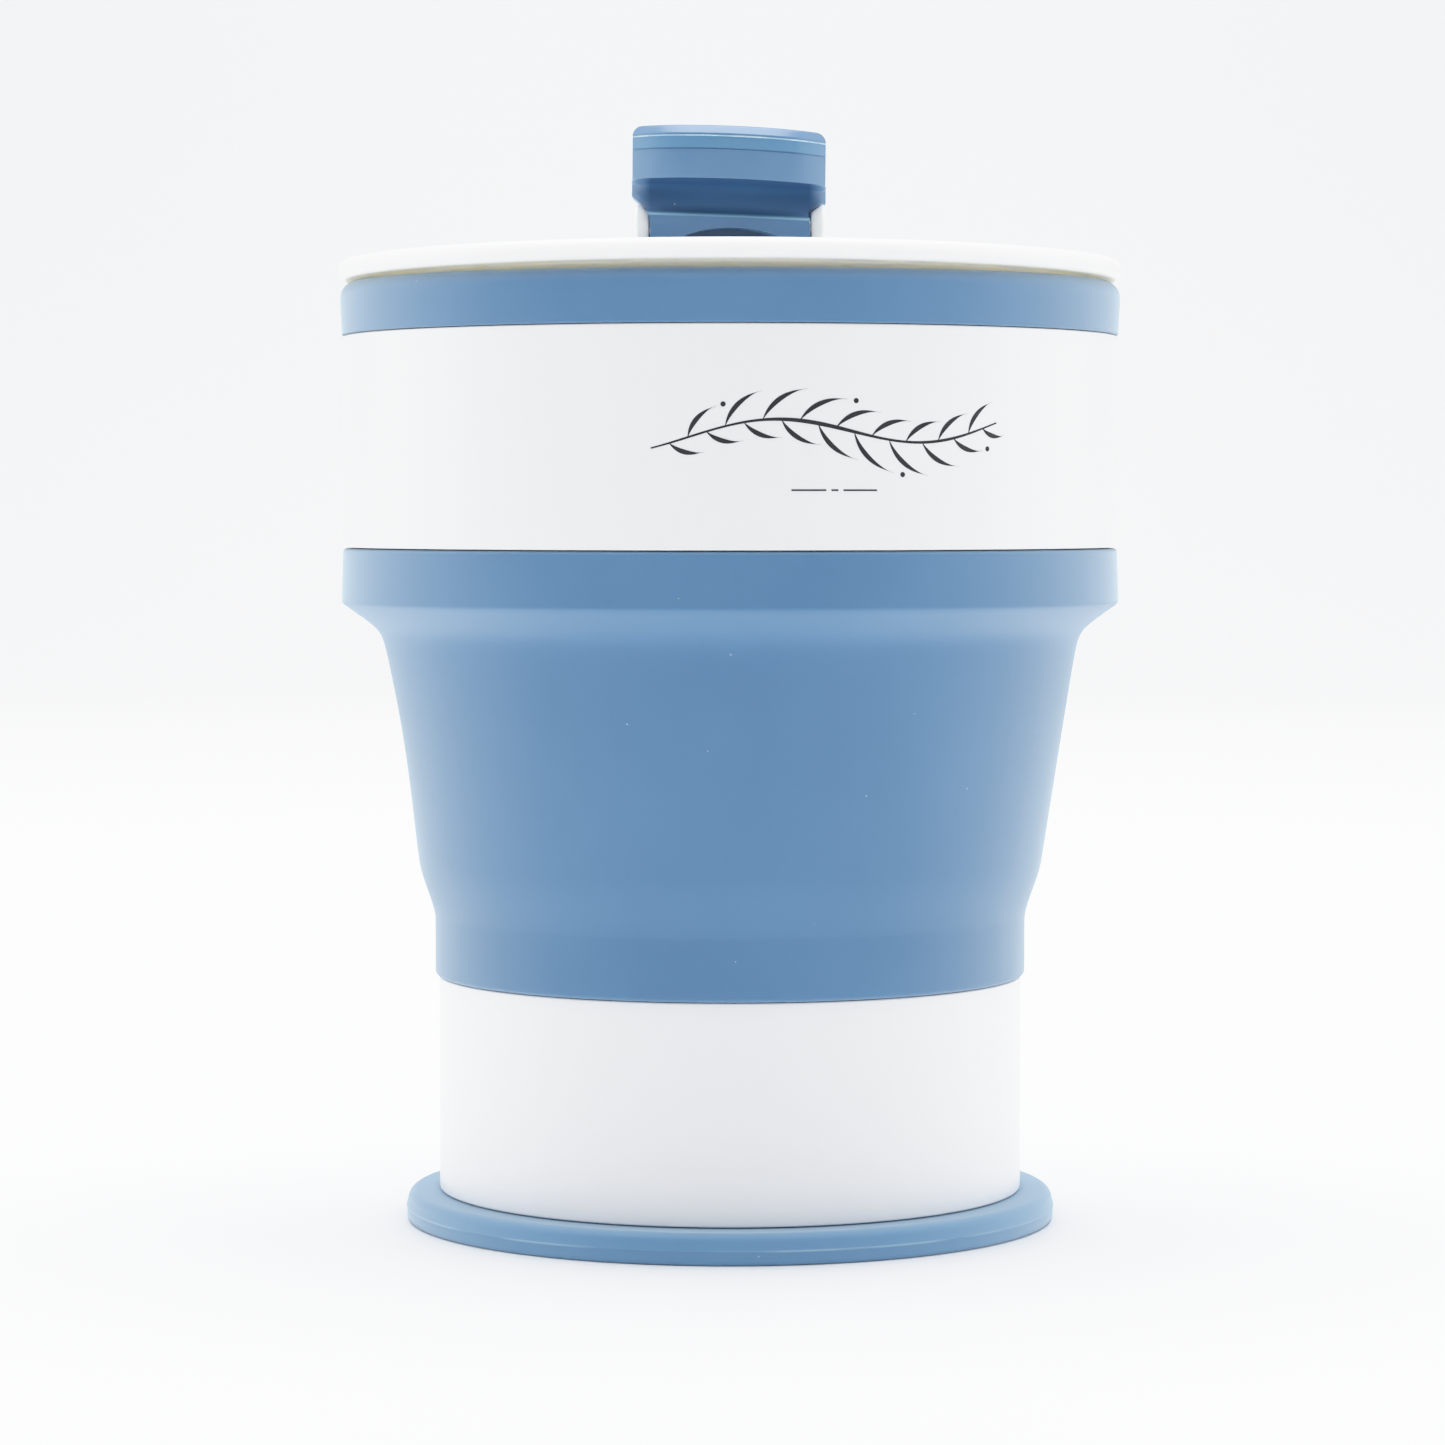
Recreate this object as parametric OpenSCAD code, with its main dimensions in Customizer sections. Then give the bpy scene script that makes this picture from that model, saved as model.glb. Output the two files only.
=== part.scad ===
// Collapsible travel cup with a press-in lid and a flip-up sip lever.
// Origin: centre of the underside. +Z is up, -Y is the front, +Y is the drinking side.
// All sizes in millimetres. The cup is drawn at full height with the lid closed.

/* [Foot coaster] */
// Outer radius of the foot coaster
coaster_r = 39.6; // [37.5:0.1:40.5]
// Thickness of the foot coaster
coaster_t = 3.7; // [3.2:0.1:5]
// Rounding of the coaster's upper edge
coaster_round = 1.2; // [0.4:0.1:1.6]
// Radius of the hollow under the coaster
coaster_hollow_r = 33; // [20:0.5:35]
// Depth of the hollow under the coaster
coaster_hollow_h = 0.9; // [0.4:0.1:1.5]
// Radius of the spigot that plugs into the cup floor
spigot_r = 29; // [15:0.5:30]
// Height of the spigot
spigot_h = 1.4; // [0.8:0.1:1.8]

/* [Lower cup] */
// Outer radius of the lower hard sleeve
lower_sleeve_r = 35.5; // [34.8:0.1:36]
// Height of the lower hard sleeve
lower_sleeve_h = 26.2; // [22:0.1:30]
// Outer radius of the silicone lip above the lower sleeve
lower_lip_r = 36; // [35.6:0.1:36.4]
// Height of the silicone lip above the lower sleeve
lower_lip_h = 7.1; // [5:0.1:9]
// Thickness of the silicone wall behind the lower sleeve
base_wall_t = 2.15; // [1.8:0.05:2.6]
// Thickness of the silicone floor
floor_t = 3.2; // [2.6:0.1:5]
// Rounding between floor and wall inside the cup
floor_round = 5; // [2:0.5:9]

/* [Folding wall] */
// Height of the wall that turns inside out
fold_h = 35; // [28:0.5:40]
// Extra radius gained just above the lower lip
fold_flare = 0.97; // [0.5:0.01:1.5]
// Height over which that extra radius is gained
fold_flare_h = 7; // [5:0.5:12]
// Radius the straight cone reaches at the top of the folding wall
cone_top_r = 42.35; // [41.5:0.05:43]
// Thickness of the folding wall, measured level
wall_t = 2.1; // [1.6:0.1:2.6]

/* [Upper ring] */
// Outer radius of the shoulder lip
shoulder_r = 47.25; // [46.8:0.05:48.5]
// Height of the sloping shoulder above the folding wall
shoulder_rise = 3.2; // [2.6:0.1:4.5]
// Widening of the sloping shoulder per millimetre of height
shoulder_slope = 1.44; // [1.2:0.02:1.8]
// Softness of the hollow corner under the shoulder
shoulder_soft = 1.3; // [0.6:0.1:2]
// Height of the shoulder lip
shoulder_h = 6.6; // [4:0.1:9]
// Outer radius of the upper hard sleeve
upper_sleeve_r = 47; // [46.7:0.1:47.2]
// Height of the upper hard sleeve
upper_sleeve_h = 25.7; // [20:0.1:32]
// Outer radius of the rim lip
rim_r = 47.3; // [46.9:0.1:48.5]
// Height of the rim lip
rim_h = 6.2; // [4.5:0.1:8]
// Rounding of the rim's outer top edge
rim_round = 1.5; // [0.8:0.1:1.6]
// Thickness of the silicone wall behind the upper sleeve
ring_wall_t = 2.25; // [1.8:0.05:2.6]
// Depth of the lid seat below the rim
seat_depth = 7.9; // [6:0.1:10]
// Width of the ledge at the bottom of the lid seat
ledge_w = 0.6; // [0.5:0.05:0.8]

/* [Hard sleeves] */
// Wall thickness of both hard sleeves
sleeve_t = 1.4; // [1:0.1:1.6]
// Rounding of the sleeve edges
sleeve_round = 0.45; // [0.2:0.05:0.5]

/* [Lid] */
// Outer radius of the lid plate
lid_r = 47.5; // [46.5:0.1:49]
// Thickness of the lid plate at its edge
lid_t = 2.4; // [2:0.1:3.2]
// Gap between the rim and the lid plate
lid_gap = 0.6; // [0.6:0.05:2]
// Radius of the shallow dish in the lid's top
dish_r = 43.8; // [42:0.1:45]
// Depth of the shallow dish
dish_h = 0.7; // [0.4:0.05:0.9]
// Wall thickness of the skirt that plugs into the rim
skirt_t = 1.7; // [1.3:0.1:2.2]
// Rounding of the lid plate's upper edge
lid_round = 1.1; // [0.5:0.1:1.1]
// Rounding of the lid plate's lower edge
lid_low_round = 0.9; // [0.3:0.1:0.9]
// Distance of the drinking hole from the lid's centre
sip_y = 33; // [30:0.5:34]
// Radius of the drinking hole
sip_r = 5.2; // [4.5:0.1:6]

/* [Hinge] */
// Distance of the hinge pin behind the lid's centre
pin_y = 7; // [6.5:0.1:7.5]
// Height of the hinge pin above the lid's edge
pin_h = 4.4; // [4.1:0.1:4.8]
// Radius of the hinge pin
pin_r = 1.25; // [1:0.05:1.4]
// Thickness of each hinge ear
ear_t = 1.8; // [1.5:0.05:2.3]
// Radius of each hinge ear at its outer face
ear_r = 3.2; // [2.9:0.1:3.4]
// Radius of each hinge ear at its inner face
ear_in_r = 1.9; // [1.8:0.05:2.4]

/* [Sip lever] */
// Overall width of the lever's head
head_w = 23.4; // [21:0.1:26]
// Height of the lever's top above the lid's edge
head_h = 16.3; // [14.5:0.1:18]
// Height of the head's front lip above the lid's edge
lip_h = 10; // [9.4:0.05:10.5]
// Radius of the head's front seen from above
head_front_r = 13.8; // [13.2:0.1:20]
// Depth of the head from front to back
head_depth = 13; // [11:0.5:14]
// Width of the lever's neck between the ears
neck_w = 19; // [16:0.1:19.1]
// Radius of the rounded hub around the pin
hub_r = 4.4; // [4:0.1:4.5]
// Height of the head's lower corners above the lid's edge
wing_h = 8; // [7.6:0.1:8.4]
// Height at which the slanting lower corners meet the neck
wing_in_h = 5.4; // [5:0.1:6]
// Radius of the neck's front seen from above
neck_front_r = 26; // [24:1:40]
// Radius of the arch at the foot of the neck
arch_r = 17.5; // [14:0.5:24]
// Height of the arch above the lid's edge
arch_h = 4.25; // [3:0.05:4.5]
// Depth of the arch's recess
arch_depth = 1.1; // [0.4:0.1:1.3]
// Distance behind the head's front at which the slope to the arm starts
slope_start = 10; // [9:0.5:11]
// Distance behind the head's front at which the slope meets the arm
slope_end = 21; // [18:0.5:24]
// Width of the arm that reaches the drinking hole
arm_w = 16; // [12:0.5:17]
// Thickness of the arm
arm_t = 3; // [2.6:0.1:4]
// Height of the arm's underside above the lid's edge
arm_lift = 0.6; // [0.5:0.05:1]

/* [Plug] */
// Radial gap between the plug's tip and the drinking hole
plug_tip_gap = 1.2; // [0.8:0.1:1.5]
// Radial gap between the plug's upper end and the drinking hole
plug_gap = 0.35; // [0.3:0.05:0.6]
// Distance the plug reaches below the lid plate
plug_reach = 0.3; // [0.1:0.1:0.8]
// Width by which the plug's flange covers the lid round the hole
flange_w = 1.4; // [1:0.1:2]
// Radius of the peg that holds the plug in the arm
peg_r = 1.6; // [1.2:0.1:2]
// Height of the peg above the arm's underside
peg_h = 1.8; // [1.2:0.1:2]

/* [Fits] */
// Radial gap of the hinge pin in the lever
pin_running_gap = 0.06; // [0.03:0.01:0.1]
// Radial gap of the hinge pin in the ears
pin_seat_gap = 0.02; // [0.01:0.01:0.05]
// Gap between the fixed parts that are pushed together
push_gap = 0.05; // [0.02:0.01:0.1]
// Gap between parts that move past each other
moving_gap = 0.4; // [0.3:0.05:0.5]
// Gap between the plug's flange and the lid
plug_rest_gap = 0.3; // [0.3:0.05:0.4]

/* [Small roundings] */
// Rounding of the larger free edges
edge_round = 0.6; // [0.3:0.1:0.8]
// Rounding of the finest edges
fine_round = 0.3; // [0.1:0.1:0.4]

/* [Hidden] */
$fn = 96;

// Heights of the joints between the sections
lip_z = coaster_t + lower_sleeve_h;
fold_z = lip_z + lower_lip_h;
collar_z = fold_z + fold_h;
shoulder_z = collar_z + shoulder_rise;
band_z = shoulder_z + shoulder_h;
rim_z = band_z + upper_sleeve_h;
top_z = rim_z + rim_h;
plate_z = top_z + lid_gap;
lid_z = plate_z + lid_t;
ledge_z = top_z - seat_depth;

// Radii that follow from the sizes above
lower_wall_r = lower_sleeve_r - sleeve_t - push_gap;
lower_bore_r = lower_wall_r - base_wall_t;
upper_wall_r = upper_sleeve_r - sleeve_t - push_gap;
upper_bore_r = upper_wall_r - ring_wall_t;
seat_r = upper_bore_r + ledge_w;
skirt_r = seat_r - moving_gap;
cone_r = lower_lip_r + fold_flare;
cone_slope = (cone_top_r - cone_r) / fold_h;
pin_z = lid_z + pin_h;
ear_x = head_w / 2 - ear_t;
dish_z = lid_z - dish_h;
arm_z = lid_z + arm_lift;
eps = 0.01;

// Set-backs and draughts of the silicone outline
shoulder_ease = 0.1;
shoulder_chamfer = 0.25;
rim_draught = 0.2;
lip_ease_h = 1.5;
bore_ease_h = 1;
lip_corner = 0.8;
band_corner = 0.7;
// Roundings of the head's top, in side view and in front view
head_side_round = 1.8;
head_front_round = 1.2;
// Distance by which the head's parts run into each other
lever_lap = 3;

// A smooth step from 0 to 1
function ease(t) = t <= 0 ? 0 : t >= 1 ? 1 : t * t * (3 - 2 * t);
// The larger of two values with a soft corner of size k
function soft_max(a, b, k) = (a + b + sqrt((a - b) * (a - b) + k * k)) / 2;
// Radius of the plain cone with the flare above the lower lip
function cone_at(z) = lower_lip_r + cone_slope * (z - fold_z)
  + fold_flare * ease((z - fold_z) / fold_flare_h);
// Radius of the sloping shoulder
function shoulder_at(z) = shoulder_r - shoulder_slope * (shoulder_z - z) - shoulder_ease;
// Outer radius of the silicone wall between the two lips
function wall_at(z) = soft_max(cone_at(z), shoulder_at(z), shoulder_soft);
// Inner radius of the folding wall, and of the slope above it
function bore_at(z) = min(wall_at(z) - wall_t, upper_bore_r);
// Heights at which the outline of the folding wall turns
fold_steps = concat(
  [for (i = [0:6]) fold_z + fold_flare_h * i / 6],
  [for (i = [0:5]) collar_z - 3.5 + 3.5 * i / 5]
);

// Takes the sharp corner off a 2D outline whose material lies along sx, sy from the corner
module corner_cut(x, y, r, sx, sy) {
  translate([x, y]) mirror([sx < 0 ? 1 : 0, 0]) mirror([0, sy < 0 ? 1 : 0])
    difference() {
      translate([-eps, -eps]) square([r + eps, r + eps]);
      translate([r, r]) circle(r = r);
    }
}

// A ring of rectangular section with rounded edges
module soft_ring(outer, inner, z0, z1, r) {
  rotate_extrude() difference() {
    translate([inner, z0]) square([outer - inner, z1 - z0]);
    corner_cut(outer, z0, r, -1, 1);
    corner_cut(outer, z1, r, -1, -1);
    corner_cut(inner, z0, r, 1, 1);
    corner_cut(inner, z1, r, 1, -1);
  }
}

// Stands a 2D outline drawn as (depth, height) upright and gives it a width along X
module side_slab(width) {
  translate([-width / 2, 0, 0]) rotate([90, 0, 90]) linear_extrude(height = width) children();
}

// Silicone disc under the cup; a spigot on top plugs into the floor
module base_coaster() {
  color([0.42, 0.56, 0.71]) rotate_extrude() difference() {
    union() {
      square([coaster_r, coaster_t]);
      square([spigot_r, coaster_t + spigot_h]);
    }
    translate([-eps, -eps]) square([coaster_hollow_r + eps, coaster_hollow_h + eps]);
    corner_cut(coaster_r, coaster_t, coaster_round, -1, -1);
    corner_cut(coaster_r, 0, edge_round, -1, 1);
    corner_cut(spigot_r, coaster_t + spigot_h, fine_round, -1, -1);
  }
}

// Hard ring around the lower cup
module lower_sleeve() {
  color([0.94, 0.95, 0.96]) soft_ring(lower_sleeve_r, lower_sleeve_r - sleeve_t,
    coaster_t + push_gap, lip_z - push_gap, sleeve_round);
}

// Silicone floor, lower wall and lower lip; the folding wall grows out of its top
module silicone_base_cup() {
  socket_z = coaster_t + spigot_h + push_gap;
  floor_z = coaster_t + floor_t;
  color([0.41, 0.56, 0.71]) rotate_extrude() difference() {
    union() {
      difference() {
        polygon([
          [0, socket_z], [spigot_r + push_gap, socket_z], [spigot_r + push_gap, coaster_t],
          [lower_wall_r, coaster_t], [lower_wall_r, lip_z], [lower_lip_r, lip_z],
          [lower_lip_r, fold_z - lip_ease_h], [wall_at(fold_z), fold_z],
          [bore_at(fold_z), fold_z], [lower_bore_r, lip_z + bore_ease_h],
          [lower_bore_r, floor_z], [0, floor_z]
        ]);
        corner_cut(lower_lip_r, lip_z, lip_corner, -1, 1);
      }
      corner_cut(lower_bore_r, floor_z, floor_round, -1, 1);
    }
    corner_cut(lower_wall_r, coaster_t, fine_round, -1, 1);
  }
}

// The part of the silicone body that turns inside out when the cup is pushed down
module silicone_fold_wall() {
  color([0.41, 0.56, 0.71]) rotate_extrude() polygon(concat(
    [for (z = fold_steps) [wall_at(z), z]],
    [for (i = [len(fold_steps) - 1:-1:0]) [bore_at(fold_steps[i]), fold_steps[i]]]
  ));
}

// Silicone ring of the upper part: shoulder lip, groove for the sleeve, rim and lid seat
module silicone_rim_collar() {
  slope_h = shoulder_rise - shoulder_chamfer;
  color([0.41, 0.56, 0.71]) rotate_extrude() difference() {
    polygon(concat(
      [for (i = [0:4]) [wall_at(collar_z + slope_h * i / 4), collar_z + slope_h * i / 4]],
      [
        [shoulder_r, shoulder_z + shoulder_chamfer], [shoulder_r - shoulder_chamfer, band_z],
        [upper_wall_r, band_z], [upper_wall_r, rim_z], [rim_r - rim_draught, rim_z],
        [rim_r, top_z - rim_round], [rim_r, top_z], [seat_r, top_z], [seat_r, ledge_z],
        [upper_bore_r, ledge_z]
      ],
      [for (i = [4:-1:0]) [bore_at(collar_z + shoulder_rise * i / 4),
        collar_z + shoulder_rise * i / 4]]
    ));
    corner_cut(rim_r, top_z, rim_round, -1, -1);
    corner_cut(seat_r, top_z, edge_round, 1, -1);
    corner_cut(shoulder_r - shoulder_chamfer, band_z, band_corner, -1, -1);
  }
}

// Hard ring around the upper part
module upper_sleeve() {
  color([0.94, 0.95, 0.96]) soft_ring(upper_sleeve_r, upper_sleeve_r - sleeve_t,
    band_z + push_gap, rim_z - push_gap, sleeve_round);
}

// One hinge ear on the right: a cone around the pin that flares outward, on a flared foot
module hinge_ear() {
  translate([ear_x, pin_y, pin_z]) rotate([0, 90, 0])
    cylinder(r1 = ear_in_r, r2 = ear_r, h = ear_t);
  translate([0, pin_y, dish_z - eps]) linear_extrude(height = pin_z - dish_z + eps) polygon([
    [ear_x, -ear_in_r], [ear_x + ear_t, -ear_r], [ear_x + ear_t, ear_r], [ear_x, ear_in_r]
  ]);
}

// Lid plate with its dish, plug-in skirt, drinking hole and two hinge ears
module lid_plate() {
  color([0.97, 0.97, 0.95]) union() {
    difference() {
      rotate_extrude() difference() {
        union() {
          translate([0, plate_z]) square([lid_r, lid_t]);
          translate([skirt_r - skirt_t, ledge_z + moving_gap])
            square([skirt_t, plate_z - ledge_z - moving_gap + eps]);
        }
        translate([-eps, dish_z]) square([dish_r + eps, dish_h + eps]);
        corner_cut(lid_r, plate_z, lid_low_round, -1, 1);
        corner_cut(lid_r, lid_z, lid_round, -1, -1);
        corner_cut(skirt_r, ledge_z + moving_gap, edge_round, -1, 1);
      }
      translate([0, sip_y, plate_z - lid_t]) cylinder(r = sip_r, h = 3 * lid_t);
    }
    difference() {
      union() {
        hinge_ear();
        mirror([1, 0, 0]) hinge_ear();
      }
      translate([-head_w, pin_y, pin_z]) rotate([0, 90, 0])
        cylinder(r = pin_r + pin_seat_gap, h = 2 * head_w);
    }
  }
}

// Steel pin held in the two ears
module hinge_pin() {
  half = head_w / 2 - push_gap;
  color([0.75, 0.76, 0.78]) translate([-half, pin_y, pin_z]) rotate([0, 90, 0])
    cylinder(r = pin_r, h = 2 * half);
}

// Side outline of the head and the slope behind it
module head_outline() {
  difference() {
    polygon([
      [0, lid_z + lip_h], [0, lid_z + head_h], [slope_start, lid_z + head_h],
      [slope_end, arm_z + arm_t], [slope_end, arm_z], [pin_y, arm_z], [pin_y - hub_r, pin_z]
    ]);
    corner_cut(0, lid_z + head_h, head_side_round, 1, -1);
  }
}

// Rounded front view of the head with its two slanting lower corners
module head_front() {
  half = head_w / 2;
  low = lid_z + wing_h;
  inner = lid_z + wing_in_h;
  difference() {
    polygon([
      [-half, low], [-half, lid_z + head_h], [half, lid_z + head_h], [half, low],
      [neck_w / 2, inner], [-neck_w / 2, inner]
    ]);
    corner_cut(half, lid_z + head_h, head_front_round, -1, -1);
    corner_cut(-half, lid_z + head_h, head_front_round, 1, -1);
  }
}

// Hollow cone on the right in which one ear turns with room all round
module ear_room() {
  flare = (ear_r - ear_in_r) / ear_t;
  start = ear_x - neck_w / 2;
  translate([neck_w / 2, pin_y, pin_z]) rotate([0, 90, 0]) cylinder(
    r1 = ear_in_r + moving_gap - flare * start,
    r2 = ear_r + moving_gap + flare * ear_t,
    h = start + 2 * ear_t
  );
}

// Flip lever: head with its front lip, neck and hub on the pin, arm to the drinking hole
module sip_lever() {
  color([0.40, 0.53, 0.68]) difference() {
    union() {
      // head, full width
      intersection() {
        side_slab(head_w) head_outline();
        translate([0, 0, lid_z]) linear_extrude(height = head_h + 1) intersection() {
          translate([0, head_front_r]) circle(r = head_front_r);
          translate([-head_w / 2, 0]) square([head_w, head_depth]);
        }
        translate([0, head_depth + 1, 0]) rotate([90, 0, 0])
          linear_extrude(height = head_depth + 2) head_front();
      }
      // neck and hub between the ears, with the slope down to the arm
      intersection() {
        union() {
          side_slab(neck_w) difference() {
            head_outline();
            translate([pin_y - 2 * hub_r, lid_z - pin_h]) square([2 * hub_r, 2 * pin_h]);
          }
          side_slab(neck_w) translate([pin_y, pin_z]) circle(r = hub_r);
        }
        translate([0, 0, lid_z - hub_r]) linear_extrude(height = head_h + 2 * hub_r) union() {
          intersection() {
            translate([0, pin_y - hub_r + neck_front_r]) circle(r = neck_front_r);
            translate([-neck_w / 2, 0]) square([neck_w, head_depth]);
          }
          translate([-arm_w / 2, slope_start]) square([arm_w, slope_end - slope_start]);
        }
      }
      // arm with its round end over the drinking hole
      translate([0, 0, arm_z]) linear_extrude(height = arm_t) union() {
        translate([0, sip_y]) circle(r = arm_w / 2);
        translate([-arm_w / 2, pin_y + lever_lap])
          square([arm_w, sip_y - pin_y - lever_lap]);
      }
    }
    translate([-head_w, pin_y, pin_z]) rotate([0, 90, 0])
      cylinder(r = pin_r + pin_running_gap, h = 2 * head_w);
    ear_room();
    mirror([1, 0, 0]) ear_room();
    // shallow arched recess at the foot of the neck
    translate([0, pin_y - hub_r + arch_depth, lid_z + arch_h - arch_r]) rotate([90, 0, 0])
      cylinder(r = arch_r, h = hub_r);
    // socket for the plug's peg
    translate([0, sip_y, arm_z - peg_h])
      cylinder(r = peg_r + push_gap, h = 2 * peg_h + fine_round);
  }
}

// Soft plug under the arm that closes the drinking hole
module sip_plug() {
  flange_z = dish_z + plug_rest_gap;
  tip_z = plate_z - plug_reach;
  color([0.42, 0.56, 0.71]) translate([0, sip_y, 0]) union() {
    translate([0, 0, tip_z])
      cylinder(r1 = sip_r - plug_tip_gap, r2 = sip_r - plug_gap, h = flange_z - tip_z);
    translate([0, 0, flange_z])
      cylinder(r = sip_r + flange_w, h = arm_z - push_gap - flange_z);
    translate([0, 0, flange_z]) cylinder(r = peg_r, h = arm_z - flange_z + peg_h);
  }
}

base_coaster();
lower_sleeve();
silicone_base_cup();
silicone_fold_wall();
silicone_rim_collar();
upper_sleeve();
lid_plate();
hinge_pin();
sip_lever();
sip_plug();
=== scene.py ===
import math

import bmesh
import bpy
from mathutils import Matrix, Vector


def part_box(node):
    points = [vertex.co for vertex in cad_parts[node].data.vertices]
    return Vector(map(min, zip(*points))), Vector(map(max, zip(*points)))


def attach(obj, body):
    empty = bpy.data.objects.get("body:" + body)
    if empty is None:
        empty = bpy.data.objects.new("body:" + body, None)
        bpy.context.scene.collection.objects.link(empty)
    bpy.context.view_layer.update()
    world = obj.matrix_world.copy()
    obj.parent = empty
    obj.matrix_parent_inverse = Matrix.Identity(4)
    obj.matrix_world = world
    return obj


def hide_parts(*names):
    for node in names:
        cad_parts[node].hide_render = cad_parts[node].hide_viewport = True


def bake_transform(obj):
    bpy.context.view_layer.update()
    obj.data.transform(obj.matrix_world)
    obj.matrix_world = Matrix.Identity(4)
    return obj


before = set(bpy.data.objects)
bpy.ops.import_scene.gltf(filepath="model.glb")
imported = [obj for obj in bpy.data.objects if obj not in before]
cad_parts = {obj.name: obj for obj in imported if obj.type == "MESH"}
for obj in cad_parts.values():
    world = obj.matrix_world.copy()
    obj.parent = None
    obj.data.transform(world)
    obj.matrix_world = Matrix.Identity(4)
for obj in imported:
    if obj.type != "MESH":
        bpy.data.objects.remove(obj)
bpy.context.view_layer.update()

metre = 1000.0
turn = 2 * math.pi


def nodeBox(node):
    low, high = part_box(node)
    return low * metre, high * metre


def ease(t):
    t = min(max(t, 0), 1)
    return t * t * (3 - 2 * t)


def mix(a, b, t):
    return a + (b - a) * t


class Signal:
    # a node's output; expressions on it add Math nodes
    def __init__(self, finish, socket):
        self.finish = finish
        self.socket = socket

    def maths(self, operation, first, second=0.0):
        return self.finish.node("ShaderNodeMath", {"operation": operation}, {0: first, 1: second})

    def __add__(self, other):
        return self.maths("ADD", self, other)

    def __sub__(self, other):
        return self.maths("SUBTRACT", self, other)

    def __rsub__(self, other):
        return self.maths("SUBTRACT", other, self)

    def __mul__(self, other):
        return self.maths("MULTIPLY", self, other)

    def __pow__(self, other):
        return self.maths("POWER", self, other)

    def __lt__(self, other):
        return self.maths("LESS_THAN", self, other)

    def __gt__(self, other):
        return self.maths("GREATER_THAN", self, other)

    def __abs__(self):
        return self.maths("ABSOLUTE", self)


class Finish:
    def __init__(self, name, **sockets):
        self.material = bpy.data.materials.new(name)
        self.material.use_nodes = True
        self.tree = self.material.node_tree
        self.shader = self.tree.nodes["Principled BSDF"]
        self.wear(**sockets)

    def feed(self, socket, value):
        if isinstance(value, Signal):
            self.tree.links.new(value.socket, socket)
        else:
            socket.default_value = value

    def node(self, kind, settings=None, sockets=None, output=0):
        made = self.tree.nodes.new(kind)
        for setting, value in (settings or {}).items():
            setattr(made, setting, value)
        for socket, value in (sockets or {}).items():
            self.feed(made.inputs[socket], value)
        return Signal(self, made.outputs[output])

    def place(self):
        return self.node("ShaderNodeTexCoord", output="Object")

    def axes(self, place):
        split = self.node("ShaderNodeSeparateXYZ", sockets={0: place})
        others = split.socket.node.outputs
        return split, Signal(self, others[1]), Signal(self, others[2])

    def noise(self, place, perMetre, detail=2.0):
        sockets = {"Vector": place, "Scale": perMetre, "Detail": detail}
        return self.node("ShaderNodeTexNoise", sockets=sockets)

    def blend(self, first, second, share):
        return self.node("ShaderNodeMix", {"data_type": "RGBA"}, {0: share, 6: first, 7: second}, 2)

    def ramp(self, value, fromLow, fromHigh, toLow=0.0, toHigh=1.0):
        return self.node(
            "ShaderNodeMapRange",
            {"clamp": True},
            {0: value, 1: fromLow, 2: fromHigh, 3: toLow, 4: toHigh},
        )

    def mottle(self, look, cloud):
        # the paler colour comes up where the cloud is high
        return self.blend(look["colour"], look["pale"], self.ramp(cloud, *look["spread"]))

    def gloss(self, look, cloud):
        return self.ramp(cloud, *look.get("glossSpread", (0.3, 0.7)), *look["roughness"])

    def bump(self, height, depth):
        relief = self.node("ShaderNodeBump", sockets={"Height": height, "Distance": depth})
        self.feed(self.shader.inputs["Normal"], relief)

    def grained(self, look, place):
        self.bump(self.noise(place, look["grain"]), look["grainDepth"])

    def wear(self, **sockets):
        for socket, value in sockets.items():
            self.feed(self.shader.inputs[socket.replace("_", " ")], value)
        return self.material

    def specks(self, look, place):
        # small round grains in a random share of the cells
        perMetre = look["lintCells"]
        cell = {"Vector": place, "Scale": perMetre, "Randomness": 1.0}
        grain = self.node("ShaderNodeTexVoronoi", sockets=cell)
        tint = Signal(self, grain.socket.node.outputs["Color"])
        chance = self.node("ShaderNodeSeparateColor", sockets={0: tint})
        return (grain < look["lintSize"] * perMetre) * (chance < look["lintShare"])


def rgb(red, green, blue):
    return (red, green, blue, 1.0)


siliconeLook = {
    "colour": rgb(0.061, 0.180, 0.366),
    "pale": rgb(0.077, 0.204, 0.398),
    "spread": (0.35, 0.68),
    "roughness": (0.50, 0.61),
    "sheen": 0.70,
    "sheenTint": rgb(0.88, 1.0, 1.0),
    "cloud": 38,
    "grain": 5200,
    "grainDepth": 0.000012,
    "lint": rgb(0.50, 0.62, 0.74),
    "lintCells": 330,
    "lintSize": 0.00011,
    "lintShare": 0.22,
    "lintTint": 0.55,
}

# the coaster is a little paler, with a painted highlight, broken into pieces, along the mould ridge
# round its edge
coasterLook = siliconeLook | {
    "colour": rgb(0.108, 0.262, 0.476),
    "pale": rgb(0.124, 0.284, 0.500),
    "lineGlint": rgb(0.34, 0.52, 0.70),
    "lineZ": 1.7,
    "lineFade": (0.16, 0.06),
    "lineBreaks": 60,
    "lineGaps": (0.44, 0.54),
    "lineGlintShare": 0.6,
}


def siliconeFinish(name, look):
    finish = Finish(
        name,
        Sheen_Weight=look["sheen"],
        Sheen_Roughness=0.5,
        Sheen_Tint=look["sheenTint"],
        Specular_IOR_Level=0.5,
    )
    place = finish.place()
    cloud = finish.noise(place, look["cloud"], 3.0)
    lint = finish.specks(look, place)
    colour = finish.mottle(look, cloud)
    # painted highlight along the coaster's mould ridge, broken into pieces
    if "lineZ" in look:
        height = finish.axes(place)[2] * metre
        broken = finish.ramp(finish.noise(place, look["lineBreaks"], 1.0), *look["lineGaps"])
        lineGlint = finish.ramp(abs(height - look["lineZ"]), *look["lineFade"]) * broken
        colour = finish.blend(colour, look["lineGlint"], lineGlint * look["lineGlintShare"])
    finish.grained(look, place)
    return finish.wear(
        Base_Color=finish.blend(colour, look["lint"], lint * look["lintTint"]),
        Roughness=finish.gloss(look, cloud),
    )


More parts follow.
